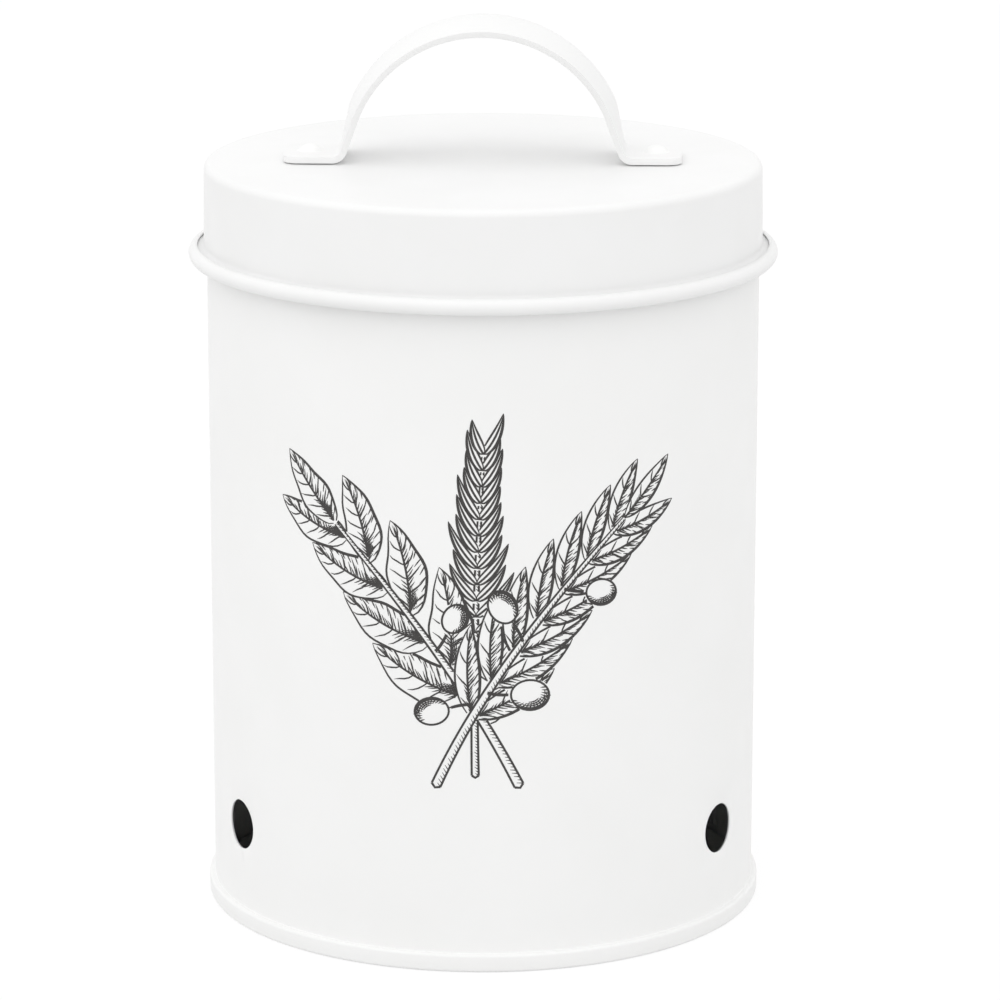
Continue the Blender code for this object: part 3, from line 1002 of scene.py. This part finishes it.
def lid_path():
    """Middle of the lid's sheet: flat top, soft edge, skirt, ledge and curl."""
    quarter = math.pi / 2
    skirt = lid_radius - sheet / 2
    ledge = 2 * curl_radius - sheet - fit_gap - sheet / 2
    ledge_end = skirt + ledge_bend
    curl = curl_radius - sheet / 2
    heel_x = ledge_end + ledge_fold + curl_heel
    heel_turn = math.acos((heel_x - curl_centre[0]) / (curl - curl_heel))
    heel_z = curl_centre[1] - (curl - curl_heel) * math.sin(heel_turn)
    path = [(0.0, lid_height - sheet / 2)]
    path += arc(lid_corner, lid_edge - sheet / 2, quarter, 0.0)
    path += arc((ledge_end, ledge + ledge_bend), ledge_bend, math.pi, math.pi + quarter)
    path += arc((ledge_end, ledge - ledge_fold), ledge_fold, quarter, 0.0)[1:]
    path += arc((heel_x, heel_z), curl_heel, math.pi, math.tau - heel_turn)
    path += arc(curl_centre, curl, -heel_turn, curl_end)[1:]
    return path


def rivet_punches(label, height):
    """Two round cutters for the rivet holes, through whatever lies at a height."""
    punches = []
    for side in (-1, 1):
        placing = Matrix.Translation((side * rivet_reach, 0.0, height))
        length = strap_thickness + 2 * cut_overrun
        punch = round_punch(f"{label}_{side}", rivet_shank_radius + fit_gap, length, rivet_facets, placing)
        punches.append((punch, "DIFFERENCE"))
    return punches


lid_coat = powder_coat("lid_coat", lid_shaded_white)
lid_shell = turned("slip_lid", sheet_outline(lid_path(), sheet), lid_coat, lid_seat)
worked(lid_shell, rivet_punches("lid_punch", lid_seat + lid_height))
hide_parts("lid_shell")
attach(lid_shell, "lid")

# Strap handle
# A strip of 1.5 mm steel, crowned across its width, bent into an arch for two or three fingers
# and widest over the top. Each end is bent flat as a foot with rounded corners.
grip_width = 0.0250
foot_width = 0.0190
grip_inside_radius = 0.0307
grip_clear_height = 0.0303
grip_crown = 0.0020
crown_full_share = 0.40
leg_lean = math.radians(20)
foot_bend_inside = 0.0022
foot_reach = 0.0465
foot_corner = 0.0035
strap_edge = 0.00035
strap_edge_steps = 4
strap_strips = 24
arch_turn = math.radians(2.2)
foot_bend_turn = math.radians(5)
foot_corner_turn = math.radians(7)
# painted shade: the strap's white is the canister's own coat made darker, so that its lit top shows as dim as
# the light leaves it
handle_shaded_white = (0.865, 0.865, 0.863)


def strap_stations():
    """Half of the strap's path, from the top of the arch to the end of a foot.

    Each station holds a place along X, a height, the direction that faces away
    from the grip, half of the strap's width there, and its crown.
    """
    middle = strap_thickness / 2
    radius = grip_inside_radius + middle
    centre = (0.0, lid_height + grip_clear_height - grip_inside_radius)
    foot = lid_height + fit_gap + middle
    bend = foot_bend_inside + middle
    places = arc(centre, radius, math.pi / 2, leg_lean, arch_turn)
    facing = [math.atan2(z - centre[1], x) for x, z in places]
    leg_x, leg_z = places[-1]
    corner_x = leg_x + (leg_z - foot) * math.tan(leg_lean)
    flat_start = corner_x + bend * math.tan((math.pi / 2 - leg_lean) / 2)
    turn = arc((flat_start, foot + bend), bend, math.pi + leg_lean, 1.5 * math.pi, foot_bend_turn)
    places += turn
    facing += [math.atan2(foot + bend - z, flat_start - x) for x, z in turn]
    flat_end = foot_reach - foot_corner
    rounding = arc((flat_end, 0.0), foot_corner, math.pi / 2, 0.0, foot_corner_turn)
    places += [(x, foot) for x, _ in rounding]
    facing += [math.pi / 2] * len(rounding)
    full = foot_width / 2
    halves = [None] * (len(places) - len(rounding)) + [full - foot_corner + y for _, y in rounding]
    top = centre[1] + radius
    stations = []
    for (x, z), angle, half in zip(places, facing, halves):
        rise = (z - foot) / (top - foot)
        eased = rise * rise * (3 - 2 * rise)
        half = half if half is not None else full + (grip_width - foot_width) / 2 * eased
        crown = grip_crown * min(1.0, rise / crown_full_share)
        stations.append((x, z + lid_seat, angle, half, crown))
    return stations


def strap_piece(coat):
    """The strap's middle surface, thickened, with its long edges rounded."""
    right = strap_stations()
    left = [(-x, z, math.pi - angle, half, crown) for x, z, angle, half, crown in right[1:]]
    shape = bmesh.new()
    grid = []
    for x, z, angle, half, crown in left[::-1] + right:
        row = []
        for strip in range(strap_strips + 1):
            across = 2 * strip / strap_strips - 1
            lift = crown * (1 - across * across)
            corner = (x + lift * math.cos(angle), half * across, z + lift * math.sin(angle))
            row.append(shape.verts.new(corner))
        grid.append(row)
    for near, far in zip(grid, grid[1:]):
        for strip in range(strap_strips):
            shape.faces.new((near[strip], far[strip], far[strip + 1], near[strip + 1]))
    strap = item_from("strap_handle", shape)
    strap.data.materials.append(coat)
    thicken = strap.modifiers.new("thickness", "SOLIDIFY")
    thicken.thickness = strap_thickness
    thicken.offset = 0.0
    thicken.use_even_offset = True
    rounded(strap, strap_edge, strap_edge_steps)
    return strap


handle_coat = powder_coat("handle_coat", handle_shaded_white)
strap = strap_piece(handle_coat)
worked(strap, rivet_punches("foot_punch", lid_seat + lid_height + fit_gap + strap_thickness / 2))
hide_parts("handle_strap")
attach(strap, "lid")

# Rivets
# Two low domed steel rivets hold the feet of the strap. Each goes through a foot and the lid and is
# clenched flat under the lid, and both were coated together with it.
rivet_head_radius = 0.0028
rivet_head_height = 0.0013
rivet_skirt = 0.0004            # where the coating runs from the head on to the foot
rivet_skirt_height = 0.0002
rivet_tail_radius = 0.0023
rivet_tail_height = 0.0009
rivet_tail_round = 0.0004
rivet_skirt_share = 1 / 3       # how far out and up the coating's hollow stands between head and foot
rivet_dome_turn = math.radians(4)
rivet_gloss_share = 0.92        # the heads are rubbed a little smoother


def rivet_outline():
    """Half of a rivet's outline, from the top of its dome down to its clenched tail."""
    foot_top = lid_height + fit_gap + strap_thickness
    under_head = foot_top - coat_overlap
    over_tail = lid_height - sheet - fit_gap
    rise = rivet_head_height + fit_gap - rivet_skirt_height
    dome = (rivet_head_radius ** 2 + rise ** 2) / (2 * rise)
    dome_centre = (0.0, foot_top + rivet_skirt_height + rise - dome)
    dome_start = math.acos(rivet_head_radius / dome)
    bottom = over_tail - rivet_tail_height
    skirt_middle = rivet_head_radius + rivet_skirt * rivet_skirt_share
    skirt_end = rivet_head_radius + rivet_skirt
    outline = [(0.0, dome_centre[1] + dome)]
    outline += arc(dome_centre, dome, math.pi / 2, dome_start, rivet_dome_turn)[1:]
    outline += [
        (skirt_middle, foot_top + rivet_skirt_height * rivet_skirt_share),
        (skirt_end, foot_top),
        (skirt_end, under_head),
        (rivet_shank_radius, under_head),
        (rivet_shank_radius, over_tail),
        (rivet_tail_radius, over_tail),
    ]
    tail_centre = (rivet_tail_radius - rivet_tail_round, bottom + rivet_tail_round)
    outline += arc(tail_centre, rivet_tail_round, 0.0, -math.pi / 2)
    outline += [(0.0, bottom)]
    return outline


def riveting_rule():
    """Node tree that sets a copy of one rivet at each end of a line along X."""
    sockets = (("Rivet", "Object"), ("Reach", "Float"), ("Coat", "Material"))
    tree, given = rule_tree("set_rivets", sockets)
    reach = given["Reach"]
    start = add_node(tree, "ShaderNodeCombineXYZ", {"X": worked_out(tree, "MULTIPLY", reach, -1.0)})
    end = add_node(tree, "ShaderNodeCombineXYZ", {"X": reach})
    row = tree.nodes.new("GeometryNodeMeshLine")
    row.mode = "END_POINTS"
    fill(tree, row, {"Count": 2, "Start Location": start, "Offset": end})
    rivet = add_node(tree, "GeometryNodeObjectInfo", {"Object": given["Rivet"]}, "Geometry")
    both = {"Points": row.outputs["Mesh"], "Instance": rivet}
    return painted(tree, add_node(tree, "GeometryNodeInstanceOnPoints", both), given["Coat"])


rivet_coat = powder_coat("rivet_coat", coat_white, rivet_gloss_share)
one_rivet = turned("one_rivet", rivet_outline(), rivet_coat, lid_seat, rivet_facets)
rivets = placed("rivets", bpy.data.meshes.new("rivets"))
ruled(rivets, riveting_rule(), {"Rivet": one_rivet, "Reach": rivet_reach, "Coat": rivet_coat})
bpy.data.objects.remove(one_rivet, do_unlink=True)
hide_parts("rivet_left", "rivet_right")
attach(rivets, "lid")

plain = {name: [list(map(float, corner)) for corner in box] for name, box in (("cad", cad_box), ("visual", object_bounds()))}
